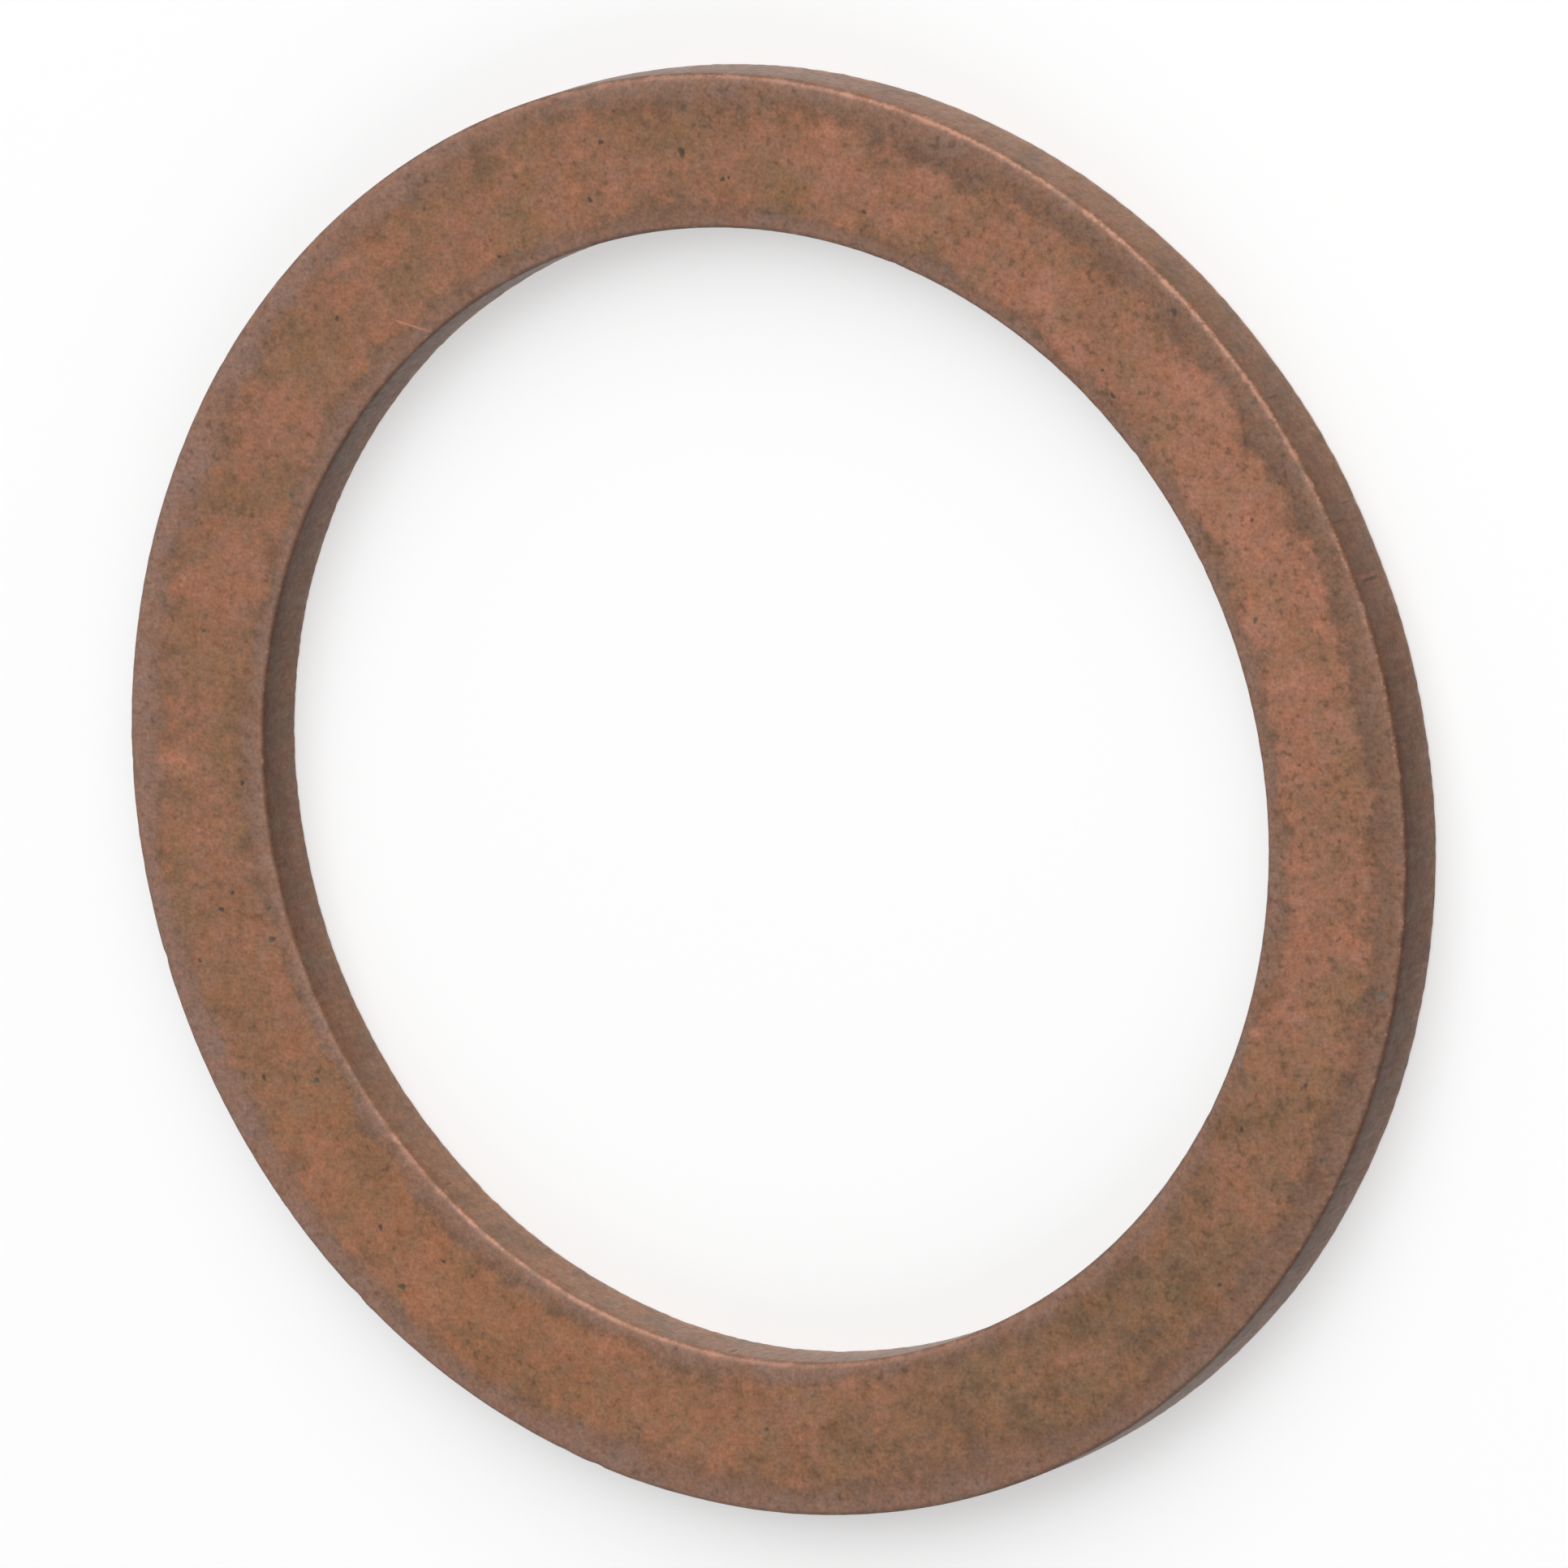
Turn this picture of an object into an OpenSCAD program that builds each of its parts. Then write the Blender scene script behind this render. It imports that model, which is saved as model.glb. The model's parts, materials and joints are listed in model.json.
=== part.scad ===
// Flat copper sealing washer, lying on its back face with its axis along +Z.
// It is one piece, blanked and pierced from sheet. The front face is a flat land
// whose two rims roll off gently to worn corners; the back rims are only broken.

/* [Ring] */
// Diameter of the hole, for a 33 mm thread
bore_d = 33; // [8:0.5:80]
// Width of the ring from the hole to the outside
band_w = 4.5; // [3:0.1:12]
// Thickness over the flat lands
thickness = 2; // [1.2:0.1:4]

/* [Edges] */
// Width of the roll-off beside each wall of the front face
roll_w = 1; // [0.8:0.05:1.4]
// Drop of the roll-off where it would meet the wall
roll_drop = 0.06; // [0.02:0.01:0.1]
// Radius of the worn front corners
corner_r = 0.2; // [0.1:0.01:0.3]
// Radius of the broken back corners
back_r = 0.12; // [0.05:0.01:0.3]

/* [Hidden] */
$fn = 180;
bore_r = bore_d / 2;
outer_r = bore_r + band_w;
// The roll-off is an arc that leaves the land level and drops roll_drop in roll_w.
roll_r = (roll_w ^ 2 + roll_drop ^ 2) / (2 * roll_drop);
// Height of the front corner's centre, where its circle touches the roll-off's arc
corner_z = thickness - roll_r + sqrt((roll_r - corner_r) ^ 2 - (roll_w - corner_r) ^ 2);
// Distance from the land's end to the point where those two arcs touch
touch_x = roll_r * (roll_w - corner_r) / (roll_r - corner_r);

// Half section of one rim: the wall is at x = 0 and the metal lies towards -x.
module rim() {
    intersection() {
        translate([-roll_w, thickness - roll_r]) circle(r = roll_r);
        translate([-roll_w, back_r]) square([touch_x, thickness - back_r]);
    }
    translate([-corner_r, corner_z]) circle(r = corner_r);
    translate([-roll_w, back_r]) square([roll_w, corner_z - back_r]);
    translate([-roll_w, 0]) square([roll_w - back_r, 2 * back_r]);
    translate([-back_r, back_r]) circle(r = back_r);
}

// Section of the whole band, standing beside the washer's axis.
module band_section() {
    translate([bore_r + roll_w, 0]) square([band_w - 2 * roll_w, thickness]);
    translate([outer_r, 0]) rim();
    translate([bore_r, 0]) mirror([1, 0]) rim();
}

module washer() {
    color([0.53, 0.39, 0.31])
        rotate_extrude() band_section();
}

washer();
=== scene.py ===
import json
import math
import random

import bmesh
import bpy
import numpy as np
from mathutils import Matrix, Vector, noise


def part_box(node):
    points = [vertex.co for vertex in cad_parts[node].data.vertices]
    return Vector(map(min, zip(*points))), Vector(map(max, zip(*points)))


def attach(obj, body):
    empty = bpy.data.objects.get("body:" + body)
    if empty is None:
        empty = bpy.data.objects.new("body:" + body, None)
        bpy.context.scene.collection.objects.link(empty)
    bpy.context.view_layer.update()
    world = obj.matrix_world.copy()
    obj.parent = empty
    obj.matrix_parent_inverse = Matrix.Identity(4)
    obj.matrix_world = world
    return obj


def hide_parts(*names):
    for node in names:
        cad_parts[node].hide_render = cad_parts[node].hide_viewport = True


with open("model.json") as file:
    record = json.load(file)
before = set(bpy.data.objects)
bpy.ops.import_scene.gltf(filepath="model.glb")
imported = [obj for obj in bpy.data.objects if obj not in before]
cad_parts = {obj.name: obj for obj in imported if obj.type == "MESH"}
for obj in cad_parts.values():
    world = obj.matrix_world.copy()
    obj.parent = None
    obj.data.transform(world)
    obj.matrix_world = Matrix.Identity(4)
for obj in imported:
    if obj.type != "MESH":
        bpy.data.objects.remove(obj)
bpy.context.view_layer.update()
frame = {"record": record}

# A flat copper sealing washer, lying on its back face on a pale floor. The ring is one
# closed mesh swept round the CAD section, with rolled rims, worn and nicked corners,
# sheared walls, pits, scratches and score marks, and one procedural material of aged
# copper.

MM = 0.001
SEED = 33

# Sizes from the frame
low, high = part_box("washer")
THICKNESS = high.z - low.z
SKIN = 0.004 * MM  # kept clear inside the CAD solid
OUTER = high.x - SKIN
BORE = frame["record"]["mounts"][0]["dims"]["r_mm"] * MM + SKIN
BAND = OUTER - BORE
TOP = high.z - SKIN
BOTTOM = low.z + SKIN

# Section of a rim, in shares of the thickness, as the CAD part has it
ROLL_WIDTH = 0.5 * THICKNESS
ROLL_DROP = 0.03 * THICKNESS
CORNER = 0.1 * THICKNESS
BACK_CORNER = 0.06 * THICKNESS

# Mesh density: points round the ring and along each stretch of the section
AROUND = 960
LAND_POINTS = 22
ROLL_POINTS = 9
CORNER_POINTS = 8
WALL_POINTS = 8
BACK_CORNER_POINTS = 5
BACK_POINTS = 8
MARK_CUTS = 3  # cuts of each mesh edge near a mark
CUT_MARGIN = 0.12 * MM  # how near a line or a score mark that is

# Marks that stand out on the front face. A place is in degrees round the ring and in
# shares of the band, from the bore out.
PITS = [  # degrees, share, width in millimetres
    (92, 0.50, 0.25), (88, 0.32, 0.15), (112, 0.14, 0.17), (132, 0.52, 0.15),
    (149, 0.14, 0.19), (43, 0.89, 0.22), (194, 0.16, 0.21), (227, 0.70, 0.21),
    (344, 0.91, 0.25), (329, 0.85, 0.16), (17, 0.23, 0.18), (208, 0.27, 0.20),
]
SCRATCH = ((127.5, 0.25), (125, 0.02))
HAIRLINES = [((6, 0.32), (5, 0.84)), ((261, 0.59), (270, 0.54))]
# Score marks that stand out on the outer wall: degrees, and heights as shares of the thickness
SCORES = [(17, 0.25, 0.85), (22, 0.55, 0.95), (33, 0.5, 0.9)]

# Marks at seeded places
SEEDED_PITS = 22
SEEDED_SCORES = 16
NICKS = 46
FRONT_NICKS = 0.6  # share of the nicks that are on the front corners
NICK_DEPTH = (0.01, 0.04)  # millimetres
NICK_WIDTH = (0.15, 0.4)  # millimetres, to either side
NICK_REACH = 0.3 * MM  # from the corner

# Depths and half widths of the relief
RIB_DEPTH = 0.002 * MM
RIB_LEAN = 0.35  # radians round the ring per metre of height
TORN_BELOW = 0.62 * THICKNESS
TORN_BLEND = 0.2 * THICKNESS
FRONT_WEAR = 0.004 * MM
BACK_WEAR = 0.006 * MM
WEAR_REACH = 0.24 * MM
LIFT = 2.4  # added to a ripple of unit spread, to keep it above zero
SWELL_DEPTH = 0.003 * MM
SWELL_SCALE = 900  # per metre
PIT_DEPTH = 0.09  # share of the pit's width
SCRATCH_DEPTH = 0.012 * MM
SCRATCH_WIDTH = 0.055 * MM
HAIRLINE_DEPTH = 0.006 * MM
HAIRLINE_WIDTH = 0.04 * MM
SCORE_DEPTH = 0.014 * MM
SCORE_WIDTH = 0.07 * MM
LIP_OFFSET = 0.08 * MM
LIP_WIDTH = 0.045 * MM

# Broad trends round the ring: the direction and the reach of each, in degrees
THICK_PATINA = (300, 50)  # where the brown skin is heaviest
RUBBED_PATINA = (25, 62)  # and where it is rubbed thinnest
WARM_PATINA = (232, 45)  # and where it is the most orange
RIM_SHEEN = (180, 150)  # and where a painted reflection makes the outer rim palest
# Walls that face the key light, which get painted light: a lighter, warmer brown
LIT_OUTER_WALL = (60, 68)
LIT_BORE_WALL = (242, 76)
# Where the worn corners are brightest: partly wear, partly a painted highlight where they face
# the key light
WORN_LIT_OUTER_CORNER = (64, 110)
WORN_LIT_BORE_CORNER = (258, 66)
FLECKED = (0, 120)

draw = random.Random(SEED)

# ---------------------------------------------------------------- ring


def ring_section():
    """Points (radius, height) of the whole closed section, front face first."""
    height = TOP - BOTTOM
    roll = (ROLL_WIDTH**2 + ROLL_DROP**2) / (2 * ROLL_DROP)
    touch = math.asin((ROLL_WIDTH - CORNER) / (roll - CORNER))
    corner_z = height - roll + (roll - CORNER) * math.cos(touch)

    def arc(x, z, radius, start, end, count):
        turn = np.linspace(start, end, count, endpoint=False)
        return np.column_stack([x + radius * np.sin(turn), z + radius * np.cos(turn)])

    # One rim from the front face round to the back one, with its wall at x = 0
    wall_z = np.linspace(corner_z, BACK_CORNER, WALL_POINTS, endpoint=False)
    rim = np.vstack([
        arc(-ROLL_WIDTH, height - roll, roll, 0, touch, ROLL_POINTS),
        arc(-CORNER, corner_z, CORNER, touch, math.pi / 2, CORNER_POINTS),
        np.column_stack([0 * wall_z, wall_z]),
        arc(-BACK_CORNER, BACK_CORNER, BACK_CORNER, math.pi / 2, math.pi, BACK_CORNER_POINTS),
    ])
    outer = rim + (OUTER, BOTTOM)
    bore = rim[::-1] * (-1, 1) + (BORE, BOTTOM)
    land = np.linspace(BORE + ROLL_WIDTH, OUTER - ROLL_WIDTH, LAND_POINTS + 2)[1:-1]
    back = np.linspace(OUTER - BACK_CORNER, BORE + BACK_CORNER, BACK_POINTS + 1)[:-1]
    land_rows = np.column_stack([land, 0 * land + TOP])
    back_rows = np.column_stack([back, 0 * back + BOTTOM])
    return np.vstack([land_rows, outer, back_rows, bore])


def swept(section):
    """The section turned round the axis, as a mesh and a bmesh of quads."""
    radius, height = section.T[:, :, None]
    angle = np.linspace(0, 2 * math.pi, AROUND, endpoint=False)[None, :]
    x = radius * np.cos(angle)
    y = radius * np.sin(angle)
    z = height + 0 * angle
    points = np.column_stack([x.ravel(), y.ravel(), z.ravel()])
    row = np.arange(len(section))[:, None] * AROUND
    next_row = np.roll(row, -1, axis=0)
    column = np.arange(AROUND)[None, :]
    next_column = np.roll(column, -1, axis=1)
    corners = [row + column, next_row + column, next_row + next_column, row + next_column]
    quads = np.stack(corners, -1).reshape(-1, len(corners))
    mesh = bpy.data.meshes.new("washer_ring")
    mesh.from_pydata(points.tolist(), [], quads.tolist())
    bm = bmesh.new()
    bm.from_mesh(mesh)
    return mesh, bm


def place(degrees, share):
    """A place on the front face, as (x, y)."""
    turn = math.radians(degrees)
    radius = BORE + share * BAND
    return np.array((radius * math.cos(turn), radius * math.sin(turn)))


def angle_gap(angle, centre):
    """Signed turn from a direction, the short way round."""
    return (angle - centre + math.pi) % (2 * math.pi) - math.pi


def off_line(x, y, start, end):
    """Distance from a line between two places, and the share of the way along it."""
    along = end - start
    length = np.linalg.norm(along)
    along = along / length
    run = ((x - start[0]) * along[0] + (y - start[1]) * along[1]) / length
    near = np.clip(run, 0, 1)[:, None] * length * along + start
    return np.hypot(x - near[:, 0], y - near[:, 1]), run


def cut_near_marks(bm, pits, lines, scores):
    """Cuts the mesh finer round each mark, so that small marks have a real shape."""
    middles = np.array([(e.verts[0].co + e.verts[1].co) / 2 for e in bm.edges])
    x, y, z = middles.T
    near = np.zeros(len(middles), bool)
    for centre, width in pits:
        near |= np.hypot(x - centre[0], y - centre[1]) < 0.8 * width + 0.08 * MM
    for start, end in lines:
        near |= off_line(x, y, start, end)[0] < CUT_MARGIN
    near &= z > TOP - 1.2 * ROLL_DROP
    for rim, turn, _, _ in scores:
        on_wall = np.abs(np.hypot(x, y) - rim) < 0.5 * CORNER
        near |= on_wall & (np.abs(angle_gap(np.arctan2(y, x), turn)) * rim < CUT_MARGIN)
    bm.edges.ensure_lookup_table()
    chosen = [bm.edges[i] for i in np.flatnonzero(near)]
    bmesh.ops.subdivide_edges(bm, edges=chosen, cuts=MARK_CUTS, use_grid_fill=True)
    many_sided = [face for face in bm.faces if len(face.verts) > 4]
    bmesh.ops.triangulate(bm, faces=many_sided, quad_method="BEAUTY", ngon_method="BEAUTY")


# Each pit is a place and a width, and each score mark a rim, a direction and two heights
pits = [(place(degrees, share), width * MM) for degrees, share, width in PITS]
for _ in range(SEEDED_PITS):
    centre = place(draw.uniform(0, 360), draw.uniform(0.12, 0.9))
    pits.append((centre, draw.uniform(0.1, 0.17) * MM))
scratch_ends = [place(*end) for end in SCRATCH]
hairlines = [[place(*end) for end in line] for line in HAIRLINES]
scores = [(OUTER, math.radians(degrees), start, end) for degrees, start, end in SCORES]
for _ in range(SEEDED_SCORES):
    start = draw.uniform(0.1, 0.6)
    rim = draw.choice((OUTER, BORE))
    scores.append((rim, draw.uniform(0, 2 * math.pi), start, start + draw.uniform(0.2, 0.4)))
mesh, bm = swept(ring_section())
cut_near_marks(bm, pits, [scratch_ends] + hairlines, scores)
bm.to_mesh(mesh)
bm.free()

# ---------------------------------------------------------------- relief


def ripple(angle, slowest, fastest, terms=28):
    """Smooth noise round the ring, of unit spread, from waves between two whole counts."""
    total = np.zeros_like(angle)
    for _ in range(terms):
        count = draw.randint(slowest, fastest)
        total = total + np.cos(count * angle + draw.uniform(0, 2 * math.pi))
    return total * math.sqrt(2 / terms)


def bump_at(distance, width):
    """1 at no distance, falling smoothly to 0 at the width."""
    share = np.clip(1 - (distance / width) ** 2, 0, 1)
    return share * share


def near_degrees(degrees, reach):
    """1 at a direction round the ring, falling smoothly to 0 within the reach."""
    return bump_at(angle_gap(angle, math.radians(degrees)), math.radians(reach))


def side_of(rim):
    """The points on a rim's half of the band."""
    return outside if rim == OUTER else ~outside


def vertex_values(vectors, field):
    values = np.empty(3 * len(mesh.vertices), np.float32)
    vectors.foreach_get(field, values)
    return values.reshape(-1, 3).astype(float)


points = vertex_values(mesh.vertices, "co")
normals = vertex_values(mesh.vertex_normals, "vector")
x, y, height = points.T
radius = np.hypot(x, y)
angle = np.arctan2(y, x)
outside = radius > BORE + BAND / 2
on_front = normals[:, 2] > 0.5
# 1 on the walls, falling to 0 part of the way round each corner
upright = np.clip(np.hypot(normals[:, 0], normals[:, 1]) * 1.6 - 0.6, 0, 1)

# Distance to the nearest corner, front and back apart. The middle of a rounded corner lies
# in from the sharp one by this share of its radius, and a front one is lower by the roll
MITRE = 0.29
front_in = MITRE * CORNER
front_down = 1.2 * MITRE * CORNER
back_in = MITRE * BACK_CORNER
front_edge = np.minimum(
    np.hypot(OUTER - front_in - radius, TOP - front_down - height),
    np.hypot(radius - BORE - front_in, TOP - front_down - height),
)
back_edge = np.minimum(
    np.hypot(OUTER - back_in - radius, height - BOTTOM - back_in),
    np.hypot(radius - BORE - back_in, height - BOTTOM - back_in),
)

depth = np.zeros(len(points))
# Sheared walls: upright ribs, deeper in the torn part next to the back face
tear = np.clip((TORN_BELOW - height) / TORN_BLEND, 0, 1)
for side in (outside, ~outside):
    ribs = ripple(angle + RIB_LEAN * height, 90, 380) + 0.5 * ripple(angle, 12, 60)
    depth += side * upright * (0.3 + 0.7 * tear) * RIB_DEPTH * (ribs + LIFT)
# Corners: wandering wear, and small nicks knocked into them
for side in (outside, ~outside):
    for edge, wander in ((front_edge, FRONT_WEAR), (back_edge, BACK_WEAR)):
        wear = wander * (ripple(angle, 3, 26) + 0.7 * ripple(angle, 60, 300) + LIFT)
        depth += side * wear * bump_at(edge, WEAR_REACH)
for _ in range(NICKS):
    centre = draw.uniform(0, 2 * math.pi)
    rim = draw.choice((OUTER, BORE))
    edge = front_edge if draw.random() < FRONT_NICKS else back_edge
    across = np.abs(angle_gap(angle, centre)) * rim
    dent = draw.uniform(*NICK_DEPTH) * MM * bump_at(across, draw.uniform(*NICK_WIDTH) * MM)
    depth += side_of(rim) * dent * bump_at(edge, NICK_REACH)
# Faces: a gentle unevenness
swell = np.array([
    noise.fractal(Vector(point) * SWELL_SCALE, 0.6, 2.1, 3, noise_basis="PERLIN_ORIGINAL")
    for point in points
])
depth += np.abs(normals[:, 2]) * SWELL_DEPTH * np.clip(swell + 1.0, 0, 2.5)
# Pits with ragged outlines
pit_mark = np.zeros(len(points))
for centre, width in pits:
    dx = x - centre[0]
    dy = y - centre[1]
    around = np.arctan2(dy, dx)
    two_lobes = 0.2 * np.sin(2 * around + draw.uniform(0, 6))
    three_lobes = 0.12 * np.sin(3 * around + draw.uniform(0, 6))
    ragged = 1 + two_lobes + three_lobes
    hollow = on_front * bump_at(np.hypot(dx, dy) * ragged, 0.75 * width)
    depth += PIT_DEPTH * width * hollow
    pit_mark = np.maximum(pit_mark, hollow)
# The scratch, which bares the copper and fades at its ends, and hairlines, which hold dirt
off, run = off_line(x, y, *scratch_ends)
fade = np.clip(4 * np.minimum(run, 1 - run) + 0.3, 0, 1)
bare_mark = on_front * bump_at(off, SCRATCH_WIDTH) * fade
depth += SCRATCH_DEPTH * bare_mark
for start, end in hairlines:
    off, run = off_line(x, y, start, end)
    groove = on_front * bump_at(off, HAIRLINE_WIDTH)
    depth += HAIRLINE_DEPTH * groove
    pit_mark = np.maximum(pit_mark, 0.3 * groove)
# Score marks up the walls, which hold dirt and have one bright lip
score_mark = np.zeros(len(points))
share_up = (height - BOTTOM) / THICKNESS
for rim, turn, start, end in scores:
    across = angle_gap(angle, turn) * rim
    reach = np.clip(8 * np.minimum(share_up - start, end - share_up), 0, 1) * upright
    groove = side_of(rim) * reach * bump_at(across, SCORE_WIDTH)
    lip = side_of(rim) * reach * bump_at(across - LIP_OFFSET, LIP_WIDTH)
    depth += SCORE_DEPTH * groove
    score_mark = np.maximum(score_mark, groove)
    bare_mark = np.maximum(bare_mark, 0.16 * lip)
depth = np.maximum(depth, 0)

# Distance in from the corner as a share of the rim skin's width, which wanders
skin_width = np.where(
    outside,
    0.98 + 0.14 * ripple(angle, 3, 14) + 0.08 * ripple(angle, 15, 60),
    0.62 + 0.1 * ripple(angle, 3, 14) + 0.07 * ripple(angle, 15, 60),
)
skin_share = front_edge / MM / np.clip(skin_width, 0.35, 2)
patina = near_degrees(*THICK_PATINA) - 0.8 * near_degrees(*RUBBED_PATINA)
# Painted light on the walls that face the key light, outside and in the bore
lit_outer_wall = 0.8 * near_degrees(*LIT_OUTER_WALL)
lit_bore_wall = near_degrees(*LIT_BORE_WALL)
# Worn corners, partly wear and partly a painted highlight where they face the key light
worn_lit_outer = near_degrees(*WORN_LIT_OUTER_CORNER)
worn_lit_bore = near_degrees(*WORN_LIT_BORE_CORNER)

moved = points - normals * depth[:, None]
mesh.vertices.foreach_set("co", moved.astype(np.float32).ravel())
mesh.polygons.foreach_set("use_smooth", [True] * len(mesh.polygons))
for label, values in (
    ("edge_mm", np.minimum(front_edge, back_edge) / MM),
    ("skin_share", skin_share),
    ("patina", patina),
    ("warmth", near_degrees(*WARM_PATINA)),
    # painted reflection that makes the outer rim paler round one side
    ("rim_sheen", np.where(outside, near_degrees(*RIM_SHEEN), 0.5)),
    ("wall", upright),
    # painted light on the walls that face the key light
    ("lit_wall_share", np.where(outside, lit_outer_wall, lit_bore_wall)),
    # worn corners, partly wear and partly a painted highlight where they face the key light
    ("wear", np.where(outside, worn_lit_outer, worn_lit_bore)),
    ("flecked", near_degrees(*FLECKED)),
    ("pit", pit_mark),
    ("score", score_mark),
    ("bare", bare_mark),
):
    layer = mesh.attributes.new(label, "FLOAT", "POINT")
    layer.data.foreach_set("value", values.astype(np.float32))
mesh.update()

# ---------------------------------------------------------------- material


def srgb(red, green, blue):
    """A display colour, 0 to 255, as linear RGBA."""
    def linear(v):
        v /= 255
        return v / 12.92 if v <= 0.04045 else ((v + 0.055) / 1.055) ** 2.4
    return (linear(red), linear(green), linear(blue), 1)


# Each ramp's stops are a place along it and a colour there
LAND_STOPS = (  # from olive-brown patina to salmon copper
    (0.15, srgb(111, 87, 67)),
    (0.38, srgb(134, 100, 77)),
    (0.58, srgb(149, 106, 84)),
    (0.85, srgb(168, 117, 96)),
)
RIM_STOPS = (  # purple-brown skin, dark to pale
    (0.15, srgb(112, 84, 70)),
    (0.40, srgb(128, 97, 79)),
    (0.70, srgb(144, 112, 97)),
)
WALL_STOPS = (
    (0.20, srgb(80, 53, 38)),
    (0.45, srgb(102, 71, 53)),
    (0.80, srgb(131, 102, 83)),
)
TINT_STOPS = (  # gains of red, green and blue, from orange to purple-grey
    (0.35, (1.06, 0.97, 0.90, 1)),
    (0.65, (0.945, 1.02, 1.09, 1)),
)
OLIVE_GOLD = srgb(143, 106, 74)
ORANGE_PATINA = srgb(158, 107, 70)
DARK_OLIVE = srgb(108, 84, 68)
LIT_WALL_COLOUR = srgb(152, 108, 80)
# Painted light: the lighter, warmer brown of the walls that face the key light
WALL_STAIN = srgb(94, 80, 63)
SCORE_DIRT = srgb(58, 46, 38)
OLIVE_FLECK = srgb(94, 76, 57)
PIT_DIRT = srgb(66, 63, 56)
PIT_GREEN = srgb(96, 102, 90)
# Worn copper on the corners, partly its own colour and partly a painted highlight
WORN_HIGHLIT_COPPER = srgb(173, 128, 108)
BARE_COPPER = srgb(190, 130, 106)


class Graph:
    """Short calls for building one material's nodes. Each returns an output socket."""

    def __init__(self, name):
        self.material = bpy.data.materials.new(name)
        self.material.use_nodes = True
        self.tree = self.material.node_tree
        self.shader = self.tree.nodes["Principled BSDF"]

    def feed(self, socket, value):
        if isinstance(value, bpy.types.NodeSocket):
            self.tree.links.new(value, socket)
        elif value is not None:
            socket.default_value = value

    def node(self, kind, **settings):
        """A new node, which is the one call that returns a node."""
        made = self.tree.nodes.new(kind)
        for key, value in settings.items():
            setattr(made, key, value)
        return made

    def attribute(self, name):
        return self.node("ShaderNodeAttribute", attribute_name=name).outputs["Fac"]

    def noise(self, coords, size, detail, roughness):
        made = self.node("ShaderNodeTexNoise")
        self.feed(made.inputs["Vector"], coords)
        self.feed(made.inputs["Scale"], 1 / size)
        self.feed(made.inputs["Detail"], detail)
        self.feed(made.inputs["Roughness"], roughness)
        return made.outputs["Fac"]

    def math(self, operation, a, b=None, c=None):
        made = self.node("ShaderNodeMath", operation=operation)
        for socket, value in zip(made.inputs, (a, b, c)):
            self.feed(socket, value)
        return made.outputs[0]

    def product(self, a, b):
        return self.math("MULTIPLY", a, b)

    def weighted(self, start, *terms):
        """start plus each (value, weight) pair's product."""
        total = start
        for value, weight in terms:
            total = self.math("MULTIPLY_ADD", value, weight, total)
        return total

    def step(self, value, start, end, low=0.0, high=1.0):
        """low where the value is under start, high where it is past end, smooth between."""
        made = self.node("ShaderNodeMapRange", interpolation_type="SMOOTHSTEP")
        names = ("Value", "From Min", "From Max", "To Min", "To Max")
        for name, v in zip(names, (value, start, end, low, high)):
            self.feed(made.inputs[name], v)
        return made.outputs["Result"]

    def mix(self, factor, a, b, blend="MIX"):
        made = self.node("ShaderNodeMix", data_type="RGBA", blend_type=blend)
        self.feed(made.inputs["Factor"], factor)
        self.feed(made.inputs[6], a)
        self.feed(made.inputs[7], b)
        return made.outputs[2]

    def scaled(self, colour, gain):
        made = self.node("ShaderNodeVectorMath", operation="SCALE")
        self.feed(made.inputs[0], colour)
        self.feed(made.inputs["Scale"], gain)
        return made.outputs[0]

    def ramp(self, factor, stops):
        made = self.node("ShaderNodeValToRGB")
        band = made.color_ramp
        while len(band.elements) < len(stops):
            band.elements.new(0.5)
        for element, (spot, colour) in zip(band.elements, stops):
            element.position = spot
            element.color = colour
        self.feed(made.inputs["Fac"], factor)
        return made.outputs["Color"]

    def stretched(self, coords, scale):
        made = self.node("ShaderNodeMapping")
        self.feed(made.inputs["Vector"], coords)
        self.feed(made.inputs["Scale"], scale)
        return made.outputs["Vector"]

    def bump(self, height, distance, normal=None):
        made = self.node("ShaderNodeBump")
        self.feed(made.inputs["Height"], height)
        self.feed(made.inputs["Distance"], distance)
        self.feed(made.inputs["Strength"], 1.0)
        self.feed(made.inputs["Normal"], normal)
        return made.outputs["Normal"]


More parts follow.
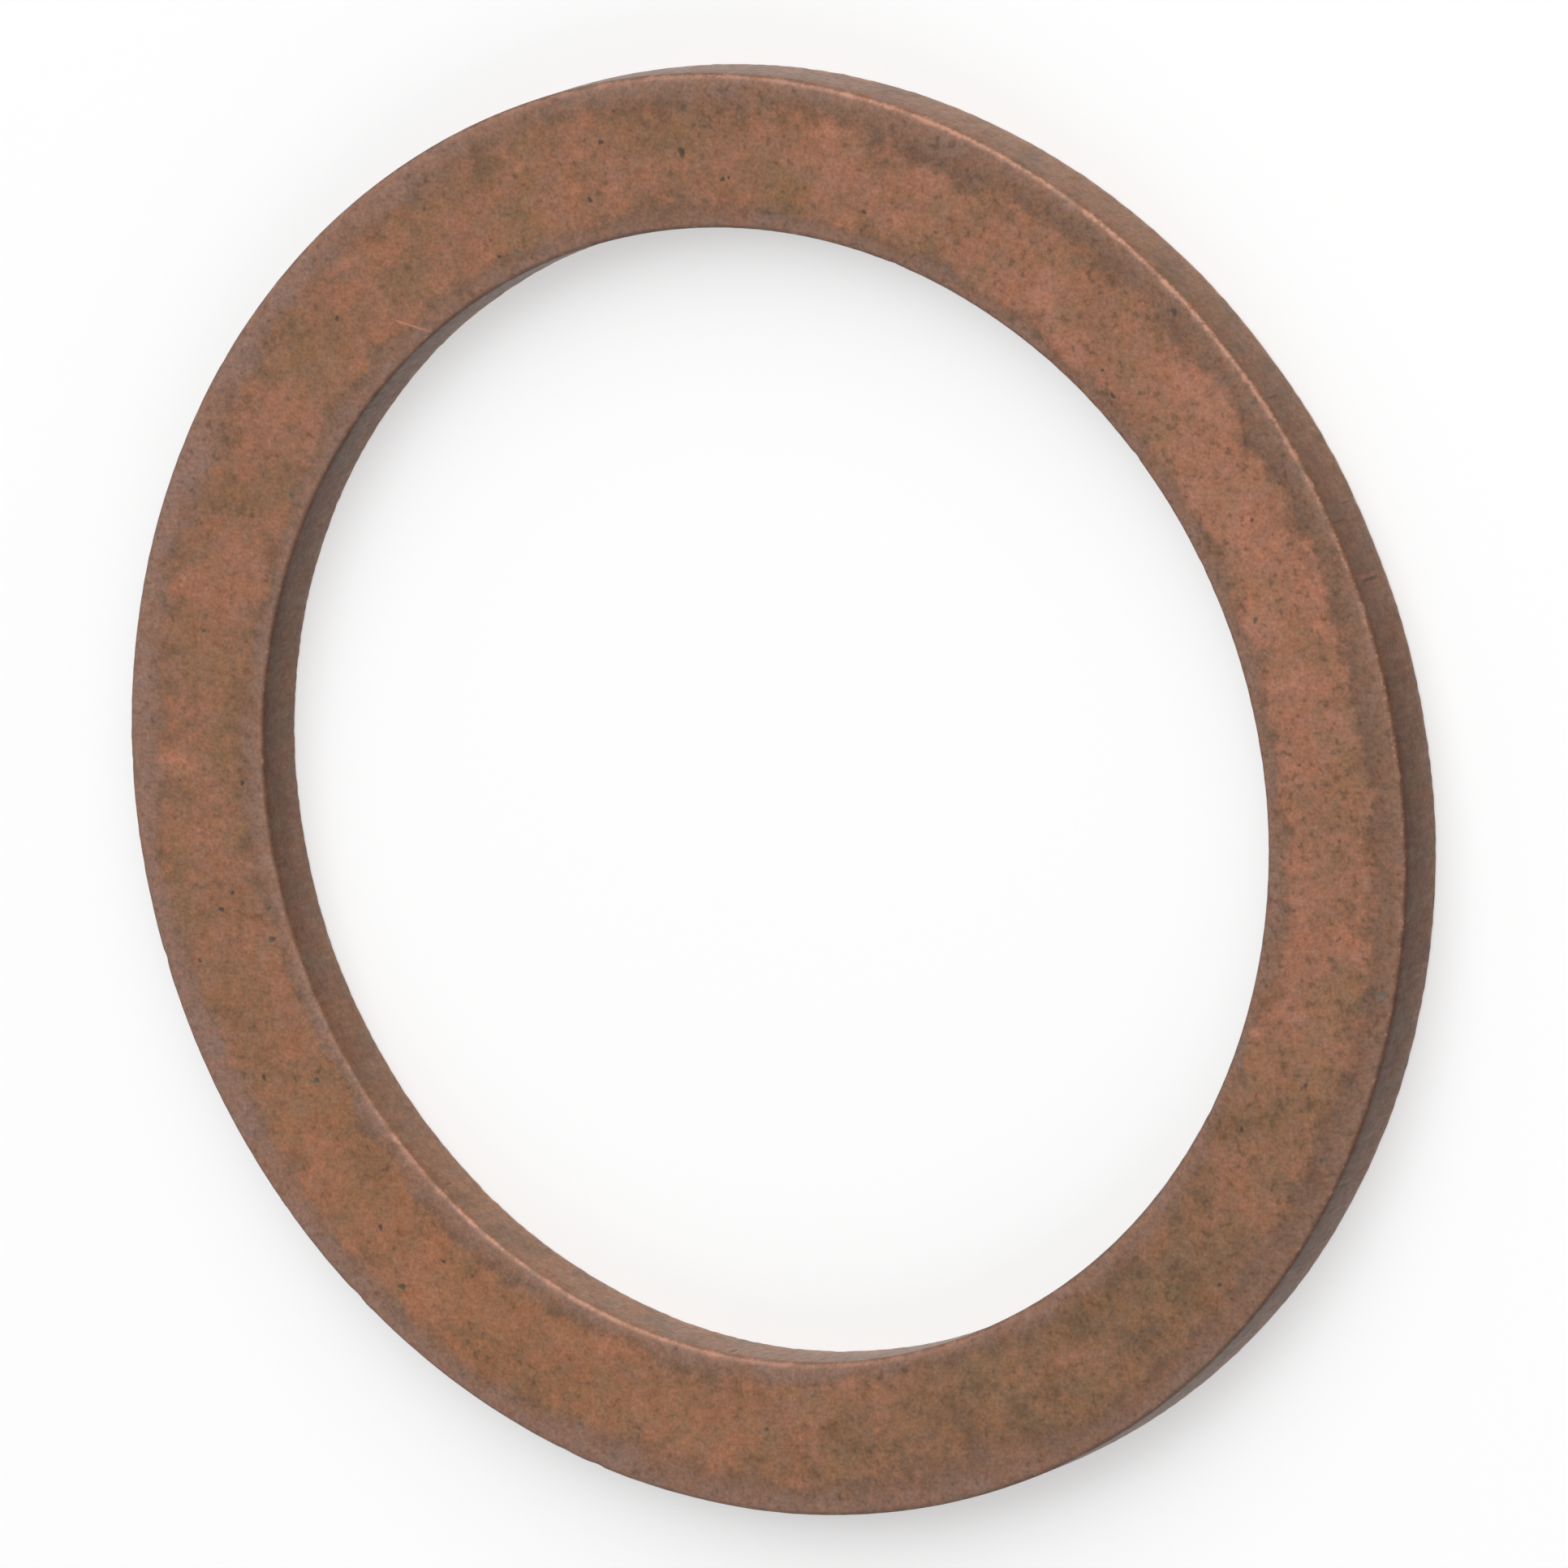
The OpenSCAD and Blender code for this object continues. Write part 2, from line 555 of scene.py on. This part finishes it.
def aged_copper():
    g = Graph("aged_copper")
    spot = g.node("ShaderNodeTexCoord").outputs["Object"]
    edge = g.attribute("edge_mm")
    skin = g.attribute("skin_share")
    patina = g.attribute("patina")
    on_wall = g.attribute("wall")
    broad = g.noise(spot, 2.6 * MM, 2, 0.5)
    mottle = g.noise(spot, 0.75 * MM, 4, 0.62)
    grain = g.noise(spot, 0.24 * MM, 2, 0.6)
    fine = g.noise(spot, 0.1 * MM, 1, 0.5)
    hue = g.noise(spot, 1.7 * MM, 2, 0.5)

    # Rubbed land: soft patches of patina and copper
    patch = g.weighted(-0.38, (broad, 0.78), (mottle, 0.78), (grain, 0.18), (patina, -0.18))
    land = g.ramp(patch, LAND_STOPS)
    land = g.mix(g.step(hue, 0.45, 0.7, 0, 0.4), land, OLIVE_GOLD)
    land = g.mix(g.product(g.attribute("warmth"), 0.3), land, ORANGE_PATINA)
    # Purple-brown skin that thickens towards the rolled rims, lighter by the corner, with a
    # painted reflection that makes the outer rim paler round one side
    rim_reach = g.weighted(-0.57, (skin, 1.0), (mottle, 0.6), (broad, 0.3), (grain, 0.25))
    rim = g.step(rim_reach, 1.25, 0.7)
    # Painted reflection: the outer rim is made paler round one side
    rim_sheen = g.attribute("rim_sheen")
    rim_tone = g.weighted(0.27, (skin, -0.25), (mottle, 0.45), (rim_sheen, 0.28))
    colour = g.mix(rim, land, g.ramp(rim_tone, RIM_STOPS))
    # Dark olive patches along the border between them
    shore = g.product(g.step(skin, 0.35, 0.9), g.step(skin, 1.9, 1.2))
    island = g.product(shore, g.step(mottle, 0.52, 0.36, 0, 0.36))
    colour = g.mix(island, colour, DARK_OLIVE)
    # Walls: dull brown with stains and faint upright shear marks. They are paler towards the
    # back, partly from a painted reflection and partly from a paler torn zone. Painted light
    # gives a warmer, lighter brown on the side that faces the key light
    streak = g.noise(g.stretched(spot, (1, 1, 0.12)), 0.14 * MM, 3, 0.6)
    stain = g.noise(g.stretched(spot, (1, 1, 0.6)), 1.1 * MM, 3, 0.55)
    split = g.node("ShaderNodeSeparateXYZ")
    g.feed(split.inputs[0], spot)
    # Paler towards the back face: partly a painted reflection of light from behind, partly a
    # paler torn zone
    back_share = g.step(split.outputs["Z"], TOP, BOTTOM)
    # Painted light: walls that face the key light are lighter and warmer, less so by the back
    # face
    lit_wall = g.attribute("lit_wall_share")
    lit_wall_back = g.product(lit_wall, back_share)
    wall_tone = g.weighted(-0.24, (streak, 0.36), (back_share, 0.42), (mottle, 0.5))
    wall_tone = g.weighted(wall_tone, (lit_wall, 0.4), (lit_wall_back, -0.24))
    wall_colour = g.ramp(wall_tone, WALL_STOPS)
    wall_colour = g.mix(g.product(lit_wall, 0.38), wall_colour, LIT_WALL_COLOUR)
    wall_colour = g.mix(g.step(stain, 0.48, 0.66, 0, 0.4), wall_colour, WALL_STAIN)
    wall_colour = g.mix(g.product(g.attribute("score"), 0.6), wall_colour, SCORE_DIRT)
    colour = g.mix(on_wall, colour, wall_colour)
    # Olive flecks on the faces, and grain over everything
    speck = g.noise(spot, 0.24 * MM, 1, 0.5)
    speck = g.weighted(-0.03, (speck, 1.0), (broad, 0.2), (g.attribute("flecked"), -0.07))
    fleck = g.product(g.step(speck, 0.4, 0.3, 0, 0.36), g.step(on_wall, 0.5, 0.0))
    colour = g.mix(fleck, colour, OLIVE_FLECK)
    colour = g.scaled(colour, g.weighted(0.35, (grain, 0.62), (fine, 0.68)))
    # A drift of hue between orange and purple-grey
    drift = g.noise(spot, 0.55 * MM, 2, 0.6)
    tint = g.ramp(g.weighted(0, (drift, 0.7), (hue, 0.3)), TINT_STOPS)
    colour = g.mix(1.0, colour, tint, "MULTIPLY")
    # Pits hold black dirt, and a few a trace of green
    pit = g.step(g.attribute("pit"), 0.05, 0.7, 0, 0.8)
    colour = g.mix(pit, colour, g.mix(g.step(hue, 0.5, 0.62), PIT_DIRT, PIT_GREEN))
    # Bare copper on the worn corners, broken up along them. The corners are widest and
    # brightest where they face the key light, which is partly a painted highlight. There is
    # also bare copper in the scratch
    along = g.noise(spot, 0.6 * MM, 3, 0.6)
    # Wear on the corners, partly real wear and partly a painted highlight where they face the
    # key light
    wear = g.attribute("wear")
    worn_highlit_edge = g.weighted(-0.23, (edge, 1.0), (along, 0.4), (fine, 0.3), (wear, -0.1))
    worn_and_highlit = g.step(worn_highlit_edge, 0.15, 0.0, 0, 0.8)
    colour = g.mix(worn_and_highlit, colour, WORN_HIGHLIT_COPPER)
    bare = g.attribute("bare")
    colour = g.mix(bare, colour, BARE_COPPER)

    metallic = g.weighted(0.1, (worn_and_highlit, 0.25), (bare, 0.3), (on_wall, 0.12))
    normal = g.bump(mottle, 0.012 * MM)
    normal = g.bump(grain, 0.01 * MM, normal)
    normal = g.bump(g.product(streak, on_wall), 0.006 * MM, normal)
    normal = g.bump(fine, 0.003 * MM, normal)
    g.feed(g.shader.inputs["Base Color"], colour)
    g.feed(g.shader.inputs["Metallic"], metallic)
    g.feed(g.shader.inputs["Roughness"], g.weighted(0.62, (grain, -0.25), (on_wall, -0.1)))
    g.feed(g.shader.inputs["Specular IOR Level"], 0.18)
    g.feed(g.shader.inputs["Normal"], normal)
    return g.material


washer = bpy.data.objects.new("washer_ring", mesh)
bpy.context.scene.collection.objects.link(washer)
mesh.materials.append(aged_copper())
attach(washer, "root")
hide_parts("washer")

# ---------------------------------------------------------------- stage

WHITE = (1, 1, 1, 1)
FLOOR_GREY = (0.52, 0.52, 0.52, 1)
FLOOR_GLOW = 0.44
FLOOR_REACH = 8.0
FLOOR_GAP = 0.01 * MM
WORLD_GLOW = 0.26

# The picture's viewpoint, from +X towards +Y and up, in degrees
VIEW_AZIMUTH = 17.04
VIEW_ELEVATION = 58.5
VIEW_DISTANCE = 42.783 * OUTER
# How far the washer's middle lies left of and below the picture's, at its own distance
OFF_LEFT = 0.0341 * OUTER
OFF_DOWN = 0.0189 * OUTER
LENS = 720.1
SENSOR = 36


def make_floor():
    sheet = bpy.data.meshes.new("floor")
    corners = [
        (-FLOOR_REACH, -FLOOR_REACH, 0),
        (FLOOR_REACH, -FLOOR_REACH, 0),
        (FLOOR_REACH, FLOOR_REACH, 0),
        (-FLOOR_REACH, FLOOR_REACH, 0),
    ]
    sheet.from_pydata(corners, [], [(0, 1, 2, 3)])
    floor = bpy.data.objects.new("floor", sheet)
    floor.location.z = low.z - FLOOR_GAP
    bpy.context.scene.collection.objects.link(floor)
    g = Graph("pale_floor")
    g.feed(g.shader.inputs["Base Color"], FLOOR_GREY)
    g.feed(g.shader.inputs["Emission Color"], WHITE)
    g.feed(g.shader.inputs["Emission Strength"], FLOOR_GLOW)
    g.feed(g.shader.inputs["Roughness"], 0.9)
    g.feed(g.shader.inputs["Specular IOR Level"], 0.1)
    sheet.materials.append(g.material)


def direction(azimuth, elevation):
    """A unit vector. Azimuth is in degrees from +X towards +Y, elevation in degrees up."""
    turn = math.radians(azimuth)
    rise = math.radians(elevation)
    level = math.cos(rise)
    return Vector((level * math.cos(turn), level * math.sin(turn), math.sin(rise)))


def softbox(name, azimuth, elevation, distance, size, power):
    """A square area light that looks at the washer."""
    data = bpy.data.lights.new(name, "AREA")
    data.size = size
    data.energy = power
    light = bpy.data.objects.new(name, data)
    way = direction(azimuth, elevation)
    light.location = way * distance
    light.rotation_euler = way.to_track_quat("Z", "Y").to_euler()
    light.visible_camera = False
    bpy.context.scene.collection.objects.link(light)


def make_world():
    world = bpy.data.worlds.new("studio")
    world.use_nodes = True
    back = world.node_tree.nodes["Background"]
    back.inputs["Color"].default_value = WHITE
    back.inputs["Strength"].default_value = WORLD_GLOW
    bpy.context.scene.world = world


def make_camera():
    """A long lens above the washer, rolled so that its far side leans to the left."""
    back = direction(VIEW_AZIMUTH, VIEW_ELEVATION)
    # The washer's X axis stays level across the picture
    up = back.cross(Vector((1, 0, 0))).normalized()
    right = up.cross(back)
    turn = Matrix((right, up, back)).transposed()
    data = bpy.data.cameras.new("camera")
    data.lens = LENS
    data.sensor_width = SENSOR
    data.clip_start = 0.01
    data.clip_end = 20
    camera = bpy.data.objects.new("camera", data)
    aim = Vector((0, 0, high.z)) + right * OFF_LEFT + up * OFF_DOWN
    camera.matrix_world = Matrix.Translation(aim + back * VIEW_DISTANCE) @ turn.to_4x4()
    bpy.context.scene.collection.objects.link(camera)
    bpy.context.scene.camera = camera


make_floor()
softbox("key", azimuth=80, elevation=46, distance=1.0, size=1.3, power=14.5)
softbox("fill", azimuth=288, elevation=22, distance=1.0, size=1.2, power=4.5)
make_world()
make_camera()
bpy.context.scene.view_settings.view_transform = "Standard"
